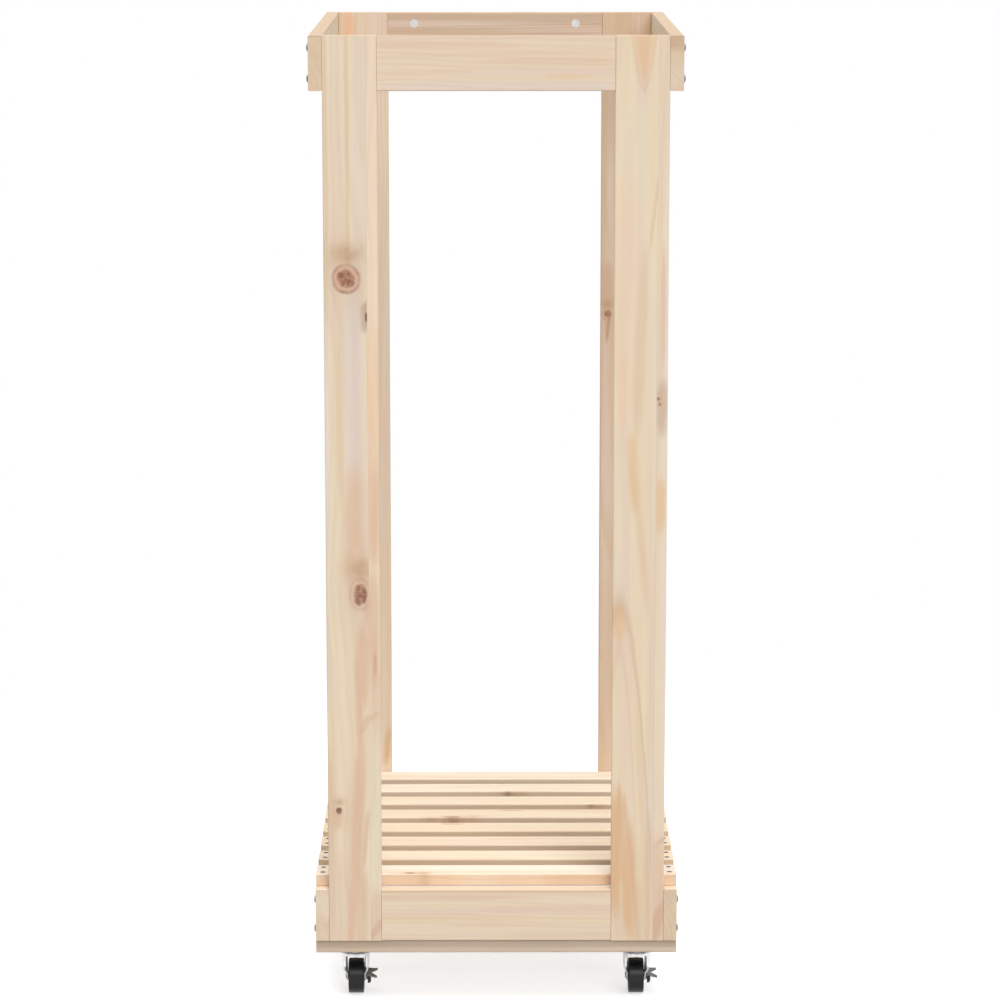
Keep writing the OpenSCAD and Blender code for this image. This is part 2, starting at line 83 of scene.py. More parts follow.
class Wire:
    """A value in a node tree. Arithmetic on it adds Math nodes to the tree."""

    def __init__(self, tree, socket):
        self.tree, self.socket = tree, socket

    def math(self, operation, *others):
        """A Math node that takes this value and then the others."""
        node = self.tree.nodes.new("ShaderNodeMath")
        node.operation = operation
        for socket, value in zip(node.inputs, (self, *others)):
            feed(self.tree, socket, value)
        return Wire(self.tree, node.outputs[0])

    def __add__(self, other): return self.math("ADD", other)
    def __radd__(self, other): return self.math("ADD", other)
    def __sub__(self, other): return self.math("SUBTRACT", other)
    def __rsub__(self, other): return self.math("MULTIPLY_ADD", -1.0, other)
    def __mul__(self, other): return self.math("MULTIPLY", other)
    def __truediv__(self, other): return self.math("DIVIDE", other)
    def __pow__(self, other): return self.math("POWER", other)
    def abs(self): return self.math("ABSOLUTE")
    def fract(self): return self.math("FRACT")
    def floor(self): return self.math("FLOOR")
    def sqrt(self): return self.math("SQRT")
    def sine(self): return self.math("SINE")
    def max(self, other): return self.math("MAXIMUM", other)
    def over(self, other): return self.math("GREATER_THAN", other)

    def bell(self):
        """exp(-x * x)"""
        return (self * self * -1.0).math("EXPONENT")

    def rise(self, low, high):
        """0 below low, 1 above high, and a smooth step between them."""
        node = self.tree.nodes.new("ShaderNodeMapRange")
        node.interpolation_type = "SMOOTHSTEP"
        feed(self.tree, node.inputs["Value"], self)
        feed(self.tree, node.inputs["From Min"], low)
        feed(self.tree, node.inputs["From Max"], high)
        return Wire(self.tree, node.outputs["Result"])


def feed(tree, socket, value):
    """Gives a socket a number, a colour or another node's output."""
    if isinstance(value, Wire):
        tree.links.new(value.socket, socket)
    else:
        socket.default_value = value


def join(tree, x, y, z):
    """A vector of three values."""
    node = tree.nodes.new("ShaderNodeCombineXYZ")
    for socket, value in zip(node.inputs, (x, y, z)):
        feed(tree, socket, value)
    return Wire(tree, node.outputs[0])


def vector_math(tree, operation, *vectors, output="Vector"):
    """A Vector Math node: its result is a vector, or a number with output="Value"."""
    node = tree.nodes.new("ShaderNodeVectorMath")
    node.operation = operation
    for socket, value in zip(node.inputs, vectors):
        feed(tree, socket, value)
    return Wire(tree, node.outputs[output])


def noise(tree, vector, scale=1.0, detail=2.0, rough=0.5, bend=0.0):
    """Smooth noise from 0 to 1, with a mean of 0.5."""
    node = tree.nodes.new("ShaderNodeTexNoise")
    for name, value in (("Vector", vector), ("Scale", scale), ("Detail", detail),
                        ("Roughness", rough), ("Distortion", bend)):
        feed(tree, node.inputs[name], value)
    return Wire(tree, node.outputs[0])


def grain_noise(tree, w, t, l, width, length, shift, **options):
    """Noise drawn out along the grain. Its features are about width by length mm, and shift
    takes it to another part of the trunk."""
    return noise(tree, join(tree, w / width, t / width + shift, l / length), **options)


def mix(tree, factor, a, b, blend="MIX"):
    """Colour a, turned into colour b by factor."""
    node = tree.nodes.new("ShaderNodeMix")
    node.data_type, node.blend_type = "RGBA", blend
    feed(tree, node.inputs["Factor"], factor)
    feed(tree, node.inputs[6], a)
    feed(tree, node.inputs[7], b)
    return Wire(tree, node.outputs[2])


def seen_by_eye(tree):
    """1 on rays from the camera, also by way of a reflection or through glass, and else 0."""
    path = tree.nodes.new("ShaderNodeLightPath")
    direct, reflected, through = (Wire(tree, path.outputs["Is %s Ray" % kind])
                                  for kind in ("Camera", "Glossy", "Transmission"))
    return direct.max(reflected).max(through)


def srgb(red, green, blue):
    """A colour named by its screen values, 0 to 255, as the linear colour that nodes take."""
    def linear(v):
        v /= 255
        return v / 12.92 if v <= 0.04045 else ((v + 0.055) / 1.055) ** 2.4
    return (linear(red), linear(green), linear(blue), 1.0)


class Effect:
    """A node group being built: its inputs are read by name, its outputs are set by name. An
    input's default tells its kind: a number, a vector as a tuple, or a colour as a list."""

    KINDS = {float: "NodeSocketFloat", tuple: "NodeSocketVector", list: "NodeSocketColor"}

    def __init__(self, name, inputs, outputs):
        self.tree = bpy.data.node_groups.new(name, "ShaderNodeTree")
        for label, value in inputs.items():
            made = self.tree.interface.new_socket(label, in_out="INPUT",
                                                  socket_type=self.KINDS[type(value)])
            made.default_value = value
        for label, kind in outputs.items():
            self.tree.interface.new_socket(label, in_out="OUTPUT", socket_type=self.KINDS[kind])
        self.entry = self.tree.nodes.new("NodeGroupInput")
        self.exit = self.tree.nodes.new("NodeGroupOutput")

    def __getitem__(self, label):
        return Wire(self.tree, self.entry.outputs[label])

    def __setitem__(self, label, wire):
        feed(self.tree, self.exit.inputs[label], wire)


class Placed:
    """A node group placed in a material, with its own values."""

    def __init__(self, tree, effect, **values):
        self.tree = tree
        self.node = tree.nodes.new("ShaderNodeGroup")
        self.node.node_tree = effect.tree
        for label, value in values.items():
            feed(tree, self.node.inputs[label.replace("_", " ")], value)

    def __getitem__(self, label):
        return Wire(self.tree, self.node.outputs[label])


# ---------- shared effects ----------

GLUE_LINE = 0.35                        # mm, half the width of a glued joint's line

# A knot, in shares of its radius: where a part starts to fade, and where it is gone
HEART_EDGE = (0.44, 0.72)
CRACK_EDGE = (0.34, 0.58)
COLLAR_EDGE = (0.84, 1.04)
RIM_AT, RIM_WIDTH = 0.95, 0.10
SHADE_AT, SHADE_LENGTH, SHADE_WIDTH = 1.62, 0.70, 1.15
NEAR_LENGTH, NEAR_WIDTH = 2.9, 2.3      # how far the grain bends round the knot
GRAIN_PUSH = -0.62
KNOT_RINGS = 24.0                       # radians of ring pattern in one radius
DEAD_BELOW = (0.2, 0.3)                 # the Ring values between which a knot comes alive

# A flame's second line lies inside its first
SECOND_NARROWER, SECOND_LATER = 2.6, 0.16
FLAME_FADE = (0.55, 1.25)               # shares of its length
STREAK_EDGE = (0.33, 1.33)              # shares of its half sizes

# Growth rings: shares of one ring where late wood sets in, is full, and stops
LATE_RISE, LATE_STOP = (0.20, 0.80), (0.86, 1.0)

# What goes over a board's own two tones
BLUSH_TONE = srgb(226, 205, 190)
FLAME_TONE = srgb(228, 190, 152)
SHADE_TONE = srgb(192, 152, 118)
COLLAR_TONE = srgb(206, 156, 130)
HEART_TONE = srgb(140, 88, 66)
DEAD_TONE = srgb(94, 72, 53)
CRACK_TONE = srgb(208, 164, 138)
BARK_TONE = srgb(140, 98, 70)
GLUE_TONE = srgb(150, 116, 84)
# Painted shade: the tone of the darkened top edges, and of the slats' long edges in their gaps
EDGE_SHADE_TONE = srgb(196, 168, 138)
END_TONE = srgb(196, 160, 124)


def board_axes_effect():
    """Object coordinates turned into millimetres across, through and along a board."""
    e = Effect("Board axes", {"Position": (0.0, 0.0, 0.0), "Centre": (0.0, 0.0, 0.0),
                              "Across": (1.0, 0.0, 0.0), "Through": (0.0, 1.0, 0.0),
                              "Along": (0.0, 0.0, 1.0)},
               {"W": float, "T": float, "L": float})
    local = vector_math(e.tree, "SUBTRACT", e["Position"], e["Centre"])
    for label, axis in (("W", "Across"), ("T", "Through"), ("L", "Along")):
        e[label] = vector_math(e.tree, "DOT_PRODUCT", local, e[axis], output="Value") * MM_PER_M
    return e


def glued_strip_effect():
    """Where a board is glued up from two strips: which side of the joint, and the joint's line."""
    e = Effect("Glued strip", {"W": 0.0, "Joint": 40.0}, {"Side": float, "Line": float})
    gap = e["W"] - e["Joint"]
    e["Side"] = gap.over(0.0)
    e["Line"] = (gap / GLUE_LINE).bell()
    return e


def knot_effect():
    """A knot: an oval heart with fine rings and radial cracks, a paler collar inside a thin bark
    rim (both scaled by Ring), shade above, and the sideways push it gives the grain around it.
    Where Ring is 0.2 or less the knot is a dead one, with a dark heart."""
    e = Effect("Pine knot",
               {"W": 0.0, "L": 0.0, "Knot W": 0.0, "Knot L": 0.0, "Radius": 8.0,
                "Stretch": 1.1, "Strength": 1.0, "Ring": 1.0},
               {"Push": float, "Heart": float, "Dead": float, "Collar": float, "Rim": float,
                "Halo": float, "Crack": float})
    t = e.tree
    dw = e["W"] - e["Knot W"]
    dl = (e["L"] - e["Knot L"]) / e["Stretch"]
    rag = noise(t, join(t, dw, dl, e["Knot L"]), scale=0.11, detail=3) - 0.5
    slow = noise(t, join(t, dw, dl, e["Knot L"] - 9.0), scale=0.04, detail=1) - 0.5
    far = (dw * dw + dl * dl).sqrt()
    share = far / e["Radius"] + slow * 0.34 + rag * 0.12
    rings = (share * KNOT_RINGS + rag * 6.0).sine() * 0.5 + 0.5
    turn = dl.math("ARCTAN2", dw)
    spoke = (turn * 2.0 + rag * 1.2).sine().abs()
    crack = (1.0 - spoke.rise(0.03, 0.30)) * (1.0 - share.rise(*CRACK_EDGE))
    patch = noise(t, join(t, dw, dl, e["Knot W"] + 5.0), scale=0.17, detail=2)
    ragged = share + rag * 0.45
    depth = patch.rise(0.25, 0.65) * 0.45 + rings * 0.12 + 0.43
    heart = (1.0 - ragged.rise(*HEART_EDGE)) * depth * e["Strength"]
    e["Heart"] = heart
    e["Dead"] = heart * (1.0 - e["Ring"].rise(*DEAD_BELOW))
    ringed = e["Strength"] * e["Ring"]
    e["Collar"] = (1.0 - share.rise(*COLLAR_EDGE)) * (0.58 + rings * 0.12 + rag * 0.5) * ringed
    e["Rim"] = ((share - RIM_AT) / RIM_WIDTH).bell() * (0.42 + rag * 1.4).max(0.0) * ringed
    e["Crack"] = crack * e["Strength"]
    wide, high = dw / e["Radius"], dl / e["Radius"]
    near = (wide / NEAR_WIDTH).bell() * (high / NEAR_LENGTH).bell()
    above = (wide / SHADE_WIDTH).bell() * ((high - SHADE_AT) / SHADE_LENGTH).bell()
    e["Halo"] = (near * 0.35 + above * (1.0 + rag * 1.5)) * e["Strength"]
    e["Push"] = dw * near * GRAIN_PUSH
    return e


def flame_effect():
    """The tongue that a growth ring leaves where it runs out of the face: inside is tinted, and
    its outline (across / half) ^ power = along / length is a thin darker line. A power of 2 is
    a parabola, and nearer 1 it is a wedge."""
    e = Effect("Grain flame", {"W": 0.0, "L": 0.0, "Tip W": 0.0, "Tip L": 0.0, "Half": 10.0,
                               "Length": 100.0, "Power": 2.0},
               {"Tint": float, "Edge": float})
    t = e.tree
    along = (e["L"] - e["Tip L"]) / e["Length"]
    wave = noise(t, join(t, e["Tip W"], e["Tip L"], e["L"] / 34.0), detail=2) - 0.5
    across = ((e["W"] - e["Tip W"] + wave * 4.0) / e["Half"]).abs() ** e["Power"]
    inside = along - across
    fade = 1.0 - along.rise(*FLAME_FADE)
    second = along - across * SECOND_NARROWER - SECOND_LATER
    e["Tint"] = (inside.rise(-0.04, 0.14) * 0.6 + second.rise(-0.04, 0.16) * 0.4) * fade
    lines = (inside / 0.055).bell() + (second / 0.060).bell() * 0.5
    e["Edge"] = lines * fade
    return e


def streak_effect():
    """A band of another tone along the grain: sqrt(across^2 + along^4), both in shares of its
    half sizes, is soft from a third to one and a third, so the band tapers at its ends. Its
    middle lies at mid + lean * (along - middle along), and it wavers a little."""
    e = Effect("Grain streak", {"W": 0.0, "L": 0.0, "Mid W": 0.0, "Mid L": 0.0, "Half W": 5.0,
                                "Half L": 50.0, "Lean": 0.0, "Strength": 1.0}, {"Mask": float})
    t = e.tree
    along = e["L"] - e["Mid L"]
    wave = noise(t, join(t, e["Mid W"], e["Mid L"], e["L"] / 45.0), detail=2) - 0.5
    across = ((e["W"] - e["Mid W"] - e["Lean"] * along) / e["Half W"] + wave * 0.5).abs()
    end = along / e["Half L"]
    reach = (across * across + (end * end) * (end * end)).sqrt()
    e["Mask"] = (1.0 - reach.rise(*STREAK_EDGE)) * e["Strength"]
    return e


def growth_effect():
    """Growth rings: distance from a wandering, slightly leaning pith, in ring widths. Late wood
    darkens slowly to the ring's end and stops short. Tone, Band and Blush are slow drifts of
    colour, and Fine makes Tone and Blush change faster across the board."""
    e = Effect("Growth rings",
               {"W": 0.0, "T": 0.0, "L": 0.0, "Pith W": 0.0, "Pith T": -40.0, "Lean": 0.0,
                "Spacing": 3.0, "Seed": 0.0, "Fine": 1.0},
               {"Late": float, "Tone": float, "Band": float, "Blush": float})
    t = e.tree
    w, th, l, seed = e["W"], e["T"], e["L"], e["Seed"]
    slow = grain_noise(t, w, th, l, 70.0, 260.0, seed, detail=1) - 0.5
    sway = noise(t, join(t, seed * 3.1, 0.5, l / 170.0), detail=1) - 0.5
    fine = grain_noise(t, w, th, l, 9.0, 75.0, seed, detail=3) - 0.5
    dw = w - e["Pith W"] + sway * 9.0
    dt = th - e["Pith T"] - e["Lean"] * l
    radius = (dw * dw + dt * dt).sqrt() + slow * 11.0 + fine * 1.6
    count = radius / e["Spacing"]
    part = count.fract()
    ring = count.floor()
    own = noise(t, join(t, ring * 7.3, seed, 0.0), scale=1.0, detail=0)
    e["Late"] = part.rise(*LATE_RISE) * (1.0 - part.rise(*LATE_STOP)) * own.rise(0.32, 0.66)
    e["Band"] = noise(t, join(t, ring * 0.31 + part * 0.31, seed, l / 900.0), detail=1)
    w, th = w * e["Fine"], th * e["Fine"]
    e["Tone"] = grain_noise(t, w, th, l, 22.0, 420.0, seed * 2.0, detail=2)
    e["Blush"] = grain_noise(t, w, th, l, 15.0, 300.0, seed * -3.0, detail=2)
    return e


def fibre_effect():
    """Fine fibres along the board, and short dark flecks of resin."""
    e = Effect("Wood fibres", {"W": 0.0, "T": 0.0, "L": 0.0, "Seed": 0.0},
               {"Fibre": float, "Fleck": float})
    t = e.tree
    place, seed = (e["W"], e["T"], e["L"]), e["Seed"]
    coarse = grain_noise(t, *place, 1.6, 60.0, seed, detail=4, rough=0.65)
    hair = grain_noise(t, *place, 0.45, 22.0, seed, detail=2)
    fleck = grain_noise(t, *place, 0.8, 9.0, seed * -1.0, detail=1)
    e["Fibre"] = (coarse - 0.5) * 1.4 + (hair - 0.5) * 0.9
    e["Fleck"] = fleck.rise(0.70, 0.80)
    return e


def pine_colour_effect():
    """Everything that a pine surface shows, mixed into a colour, a roughness and a height."""
    e = Effect("Pine colour",
               {"Pale": [0.8, 0.66, 0.5, 1], "Late wood": [0.62, 0.42, 0.25, 1],
                "Warm": [0.74, 0.5, 0.3, 1], "Dead": 0.0, "Contrast": 0.4, "Late": 0.0,
                "Tone": 0.5, "Band": 0.5, "Blush": 0.5, "Fibre": 0.0, "Fleck": 0.0, "Heart": 0.0,
                "Collar": 0.0, "Rim": 0.0, "Halo": 0.0, "Crack": 0.0, "Glue": 0.0,
                "Tint": 0.0, "Edge": 0.0, "End": 0.0, "Streak": 0.0, "Edgeshade": 0.0},
               {"Color": list, "Roughness": float, "Height": float})
    t = e.tree
    calm = 1.0 - e["Streak"] * 0.75
    colour = e["Pale"]
    # each tone goes over those before it, where its mask says
    for mask, tone in (
            (e["Tone"].rise(0.38, 0.72) * 0.55, e["Warm"]),
            (e["Blush"].rise(0.42, 0.70) * 0.60 * calm, BLUSH_TONE),
            (e["Band"].rise(0.48, 0.80) * 0.25 * calm, e["Warm"]),
            (e["Tint"], FLAME_TONE),
            (e["Late"] * e["Contrast"], e["Late wood"]),
            (e["Edge"] * 0.60, e["Late wood"]),
            (e["Halo"] * 0.60, SHADE_TONE),
            (e["Collar"], COLLAR_TONE),
            (e["Heart"], HEART_TONE),
            (e["Dead"], DEAD_TONE),
            (e["Crack"] * 0.6, CRACK_TONE),
            (e["Rim"], BARK_TONE),
            (e["Fleck"] * 0.22, e["Late wood"]),
            (e["Glue"] * 0.14, GLUE_TONE),
            # painted shade on top edges, and on the slats' long edges in their gaps
            (e["Edgeshade"], EDGE_SHADE_TONE),
            (e["End"] * 0.35, END_TONE)):
        colour = mix(t, mask, colour, tone)
    light = e["Fibre"] * 0.07 + 1.0
    e["Color"] = mix(t, 1.0, colour, join(t, light, light, light), blend="MULTIPLY")
    e["Roughness"] = 0.62 - e["Late"] * 0.08 - e["Heart"] * 0.15 + e["End"] * 0.15
    e["Height"] = e["Fibre"] * 0.10 - e["Late"] * 0.05 - e["Rim"] * 0.5 - e["Glue"] * 0.3
    return e


def plated_effect():
    """Plated steel: a faint cloudy spangle, about 6 mm across, over a fine grain."""
    e = Effect("Plated steel", {"Position": (0.0, 0.0, 0.0), "Bright": [0.75, 0.75, 0.76, 1],
                                "Dull": [0.5, 0.5, 0.5, 1], "Smooth": 0.25, "Rough": 0.45},
               {"Color": list, "Roughness": float, "Height": float})
    t = e.tree
    cloud = noise(t, e["Position"], scale=160, detail=4, rough=0.6).rise(0.3, 0.75)
    grain = noise(t, e["Position"], scale=1900, detail=2)
    e["Color"] = mix(t, cloud, e["Bright"], e["Dull"])
    e["Roughness"] = e["Smooth"] + (e["Rough"] - e["Smooth"]) * (cloud * 0.7 + grain * 0.3)
    e["Height"] = grain * 0.4 + cloud * 0.6
    return e


def moulded_effect():
    """Moulded rubber or plastic: a fine matt skin, and faint flow marks about 10 mm across."""
    e = Effect("Moulded skin", {"Position": (0.0, 0.0, 0.0), "Deep": [0.02, 0.02, 0.02, 1],
                                "Scuffed": [0.05, 0.05, 0.05, 1], "Smooth": 0.35, "Rough": 0.55},
               {"Color": list, "Roughness": float, "Height": float})
    t = e.tree
    flow = noise(t, e["Position"], scale=95, detail=5, rough=0.6, bend=0.6)
    e["Color"] = mix(t, flow.rise(0.55, 0.8), e["Deep"], e["Scuffed"])
    e["Roughness"] = e["Smooth"] + (e["Rough"] - e["Smooth"]) * flow
    e["Height"] = noise(t, e["Position"], scale=2600, detail=2)
    return e


AXES_EFFECT = board_axes_effect()
STRIP_EFFECT = glued_strip_effect()
KNOT_EFFECT = knot_effect()
FLAME_EFFECT = flame_effect()
STREAK_EFFECT = streak_effect()
GROWTH_EFFECT = growth_effect()
FIBRE_EFFECT = fibre_effect()
PINE_EFFECT = pine_colour_effect()
PLATED_EFFECT = plated_effect()
MOULDED_EFFECT = moulded_effect()


# ---------- materials ----------

PINE_PALE = srgb(234, 217, 190)
PINE_LATE = srgb(200, 160, 122)
PINE_WARM = srgb(228, 201, 168)
SLAT_PALE = srgb(238, 226, 205)
# Painted shade: the base boards' two tones are darkened to stand for the shade under the frame
BASE_SHADED_PALE = srgb(211, 193, 171)
BASE_SHADED_WARM = srgb(202, 176, 148)

PEACH = srgb(238, 206, 174)
PALE_PEACH = srgb(240, 217, 192)
ORANGE_TAN = srgb(229, 193, 150)
PINK_TAN = srgb(224, 191, 163)
LILAC_GREY = srgb(226, 210, 197)
OLIVE_CREAM = srgb(231, 217, 189)
TAN = srgb(225, 200, 168)
SALMON = srgb(211, 171, 143)
# Painted shadow: the grey-brown tone of the band along the base boards' upper edge, under the
# rails
BASE_PAINTED_SHADOW = srgb(186, 168, 148)
ROSE_CREAM = srgb(225, 200, 178)
EDGE_CREAM = srgb(234, 218, 201)
FOOT_TAN = srgb(219, 192, 164)
HONEY = srgb(221, 182, 143)

# Across, through and along, for each way that a board runs
RUNS = {
    "post": (X_AXIS, Y_AXIS, Z_AXIS),
    "rail": (Z_AXIS, Y_AXIS, X_AXIS),
    "side": (Z_AXIS, X_AXIS, Y_AXIS),
    "slat": (Y_AXIS, Z_AXIS, X_AXIS),
}

KNOT_MARKS = ("Heart", "Dead", "Collar", "Rim", "Halo", "Crack")
NO_JOINT = 500.0                # mm, far beyond every board's edge
STRIP_SHIFT = (37.0, 11.0, 650.0)       # mm between the trunk parts of two glued strips

# Millimetres in from a board's edge: where a tone starts, and where it is full
FRONT_EDGE = (1.8, 0.8)
# Painted shade bands: along a board's top edge, and along the slats' long edges in the gaps
# between them
TOP_SHADE_BAND = (2.0, 0.2)
GAP_SHADE_BAND = (0.8, 0.3)
END_SKIN = (0.08, 0.02)

# Relief: its depth in metres, and its strength
PINE_RELIEF = (0.0004, 0.35)
PLATED_RELIEF = (0.00005, 0.25)
MOULDED_RELIEF = (0.00003, 0.3)
PINE_GLOSS = 0.35


def new_material(name):
    """An empty material with its Principled BSDF: (material, tree, shader node)."""
    material = bpy.data.materials.new(name)
    material.use_nodes = True
    tree = material.node_tree
    return material, tree, tree.nodes["Principled BSDF"]


def object_position(tree):
    """The place on the piece, in its own coordinates."""
    return Wire(tree, tree.nodes.new("ShaderNodeTexCoord").outputs["Object"])


def show(tree, shader, surface, relief):
    """Gives a shader the colour, roughness and height of a placed effect."""
    feed(tree, shader.inputs["Base Color"], surface["Color"])
    feed(tree, shader.inputs["Roughness"], surface["Roughness"])
    node = tree.nodes.new("ShaderNodeBump")
    node.inputs["Distance"].default_value, node.inputs["Strength"].default_value = relief
    feed(tree, node.inputs["Height"], surface["Height"])
    feed(tree, shader.inputs["Normal"], Wire(tree, node.outputs["Normal"]))


def pine(node, run, seed, pith=(0.0, -60.0), lean=0.0, spacing=3.2, contrast=0.22,
         joint=None, knots=(), edge_knots=(), flames=(), streaks=(), top_shade=0.0,
         gap_shade=0.0, fine=1.0, pale=PINE_PALE, warm=PINE_WARM):
    """Planed pine for one board. run is the way it lies, and seed gives it a grain of its own.
    pith is the heart of the trunk, in mm across and through the board from its middle; lean is
    how fast it nears the face; spacing is the width of a growth ring in mm and contrast how dark
    its late wood is; joint is where two strips are glued; knots are (across, along, radius,
    stretch, strength, ring), and edge_knots, which show on the front edge, have through in place
    of across; flames are (tip across, tip along, half width, length, power, tint, edge), and a
    negative length opens towards the foot; streaks are (across, along, half width, half length,
    lean, strength, colour); fine narrows the bands of tone; top_shade darkens the upper edge as
    painted shade, and gap_shade darkens both long edges as painted shade, which on the slats
    stands for the shade in the gaps between them; pale and warm are its two tones."""
    material, tree, shader = new_material("pine_" + node)
    low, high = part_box(node)
    across, through, along = RUNS[run]
    axes = Placed(tree, AXES_EFFECT, Position=object_position(tree),
                  Centre=tuple((low + high) / 2), Across=across, Through=through, Along=along)
    w, t, l = axes["W"], axes["T"], axes["L"]
    half_width = np.dot(high - low, across) / 2 * MM_PER_M
    half_length = np.dot(high - low, along) / 2 * MM_PER_M

    def edge(reach, half, band):
        # 0 inside a board's edge and 1 on it
        return reach.rise(half - band[0], half - band[1])

    front = 1.0 - w.rise(FRONT_EDGE[1] - half_width, FRONT_EDGE[0] - half_width)
    strip = Placed(tree, STRIP_EFFECT, W=w, Joint=NO_JOINT if joint is None else joint)
    side = strip["Side"]

    def own_strip(across_mm):
        # a figure stays in its own strip of a glued-up board
        if joint is None:
            return 1.0
        return side if across_mm > joint else 1.0 - side

    marks = {label: w * 0.0 for label in KNOT_MARKS + ("Tint", "Edge", "Streak")}

    def add(label, mask):
        marks[label] = marks[label].max(mask)

    def add_knot(reach, here, knot_w, knot_l, radius, stretch, strength, ring):
        knot = Placed(tree, KNOT_EFFECT, W=reach, L=l, Knot_W=knot_w, Knot_L=knot_l,
                      Radius=radius, Stretch=stretch, Strength=strength, Ring=ring)
        for label in KNOT_MARKS:
            add(label, knot[label] * here)
        return knot

    bent = w
    for row in knots:
        here = own_strip(row[0])
        bent = bent + add_knot(w, here, *row)["Push"] * here
    for row in edge_knots:
        add_knot(t, front, *row)
    for tip_w, tip_l, half, length, power, tint, outline in flames:
        flame = Placed(tree, FLAME_EFFECT, W=w, L=l, Tip_W=tip_w, Tip_L=tip_l, Half=half,
                       Length=length, Power=power)
        here = own_strip(tip_w)
        add("Tint", flame["Tint"] * here * tint)
        add("Edge", flame["Edge"] * here * outline)
    for mid_w, mid_l, half, reach, tilt, strength, tone in streaks:
        band = Placed(tree, STREAK_EFFECT, W=w, L=l, Mid_W=mid_w, Mid_L=mid_l, Half_W=half,
                      Half_L=reach, Lean=tilt, Strength=strength)
        mask = band["Mask"] * own_strip(mid_w)
        pale, warm = mix(tree, mask, pale, tone), mix(tree, mask, warm, tone)
        add("Streak", mask)

    shift_w, shift_t, shift_l = (side * shift for shift in STRIP_SHIFT)
    growth = Placed(tree, GROWTH_EFFECT, W=bent + shift_w, T=t + shift_t, L=l + shift_l,
                    Pith_W=pith[0], Pith_T=pith[1], Lean=lean, Spacing=spacing, Seed=seed,
                    Fine=fine)
    fibres = Placed(tree, FIBRE_EFFECT, W=bent + shift_w, T=t, L=l, Seed=seed)
    # Painted shade: darker along the top edge, and along both long edges of the slats, for the
    # shade in the gaps between them
    rim = (edge(w, half_width, TOP_SHADE_BAND) * top_shade).max(
        edge(w.abs(), half_width, GAP_SHADE_BAND) * gap_shade)
    surface = Placed(tree, PINE_EFFECT, Pale=pale, Late_wood=PINE_LATE, Warm=warm,
                     Contrast=contrast, Late=growth["Late"], Tone=growth["Tone"],
                     Band=growth["Band"], Blush=growth["Blush"], Fibre=fibres["Fibre"],
                     Fleck=fibres["Fleck"], Glue=strip["Line"], Edgeshade=rim,
                     End=edge(l.abs(), half_length, END_SKIN), **marks)
    show(tree, shader, surface, PINE_RELIEF)
    shader.inputs["Specular IOR Level"].default_value = PINE_GLOSS
    return material


def plated(name, bright, dull, smooth, rough, metallic=1.0):
    """Plated steel, between two tones and two roughnesses."""
    material, tree, shader = new_material(name)
    surface = Placed(tree, PLATED_EFFECT, Position=object_position(tree), Bright=bright, Dull=dull,
                     Smooth=smooth, Rough=rough)
    show(tree, shader, surface, PLATED_RELIEF)
    shader.inputs["Metallic"].default_value = metallic
    return material


def moulded(name, deep, scuffed, smooth, rough, gloss=0.4):
    """Moulded rubber or plastic, between two tones and two roughnesses."""
    material, tree, shader = new_material(name)
    surface = Placed(tree, MOULDED_EFFECT, Position=object_position(tree), Deep=deep,
                     Scuffed=scuffed, Smooth=smooth, Rough=rough)
    show(tree, shader, surface, MOULDED_RELIEF)
    shader.inputs["Specular IOR Level"].default_value = gloss
    return material


# ---------- the floor and the world ----------

def make_floor():
    """A pale floor that keeps the cart's shadow and fades into the white background."""
    material, tree, shader = new_material("floor")
    shader.inputs["Roughness"].default_value = FLOOR_ROUGHNESS
    shader.inputs["Specular IOR Level"].default_value = 0.0
    distance = vector_math(tree, "LENGTH", object_position(tree), output="Value")
    seen = seen_by_eye(tree)
    feed(tree, shader.inputs["Base Color"], mix(tree, seen, FLOOR_BOUNCE, FLOOR_LOOK))
    shader.inputs["Emission Color"].default_value = WHITE
    feed(tree, shader.inputs["Emission Strength"], seen * FLOOR_GLOW)
    white = tree.nodes.new("ShaderNodeEmission")
    blend = tree.nodes.new("ShaderNodeMixShader")
    feed(tree, blend.inputs[0], distance.rise(FLOOR_SOLID, FLOOR_FADED) * seen)
    tree.links.new(shader.outputs[0], blend.inputs[1])
    tree.links.new(white.outputs[0], blend.inputs[2])
    tree.links.new(blend.outputs[0], tree.nodes["Material Output"].inputs["Surface"])
    mesh = bpy.data.meshes.new("floor")
    half = FLOOR_HALF
    mesh.from_pydata([(-half, -half, 0), (half, -half, 0), (half, half, 0), (-half, half, 0)], [],
                     [(0, 1, 2, 3)])
    mesh.materials.append(material)
    floor = bpy.data.objects.new("floor", mesh)
    bpy.context.scene.collection.objects.link(floor)


def make_world():
    """White to the eye and in reflections, and a gentler light on everything else."""
    world = bpy.data.worlds.new("studio")
    bpy.context.scene.world = world
    world.use_nodes = True
    tree = world.node_tree
    back = tree.nodes["Background"]
    back.inputs["Color"].default_value = WHITE
    feed(tree, back.inputs["Strength"], seen_by_eye(tree) * (1.0 - WORLD_LIGHT) + WORLD_LIGHT)


# ---------- dressing the cart ----------

# Both base boards have darker tones as painted shade under the frame, and a grey-brown band of
# painted shadow along their upper edge
BASE_WOOD_SHADED = dict(lean=0.01, streaks=((2.8, 0.0, 5.6, 600.0, 0.0, 0.95, BASE_PAINTED_SHADOW),),
                 pale=BASE_SHADED_PALE, warm=BASE_SHADED_WARM)
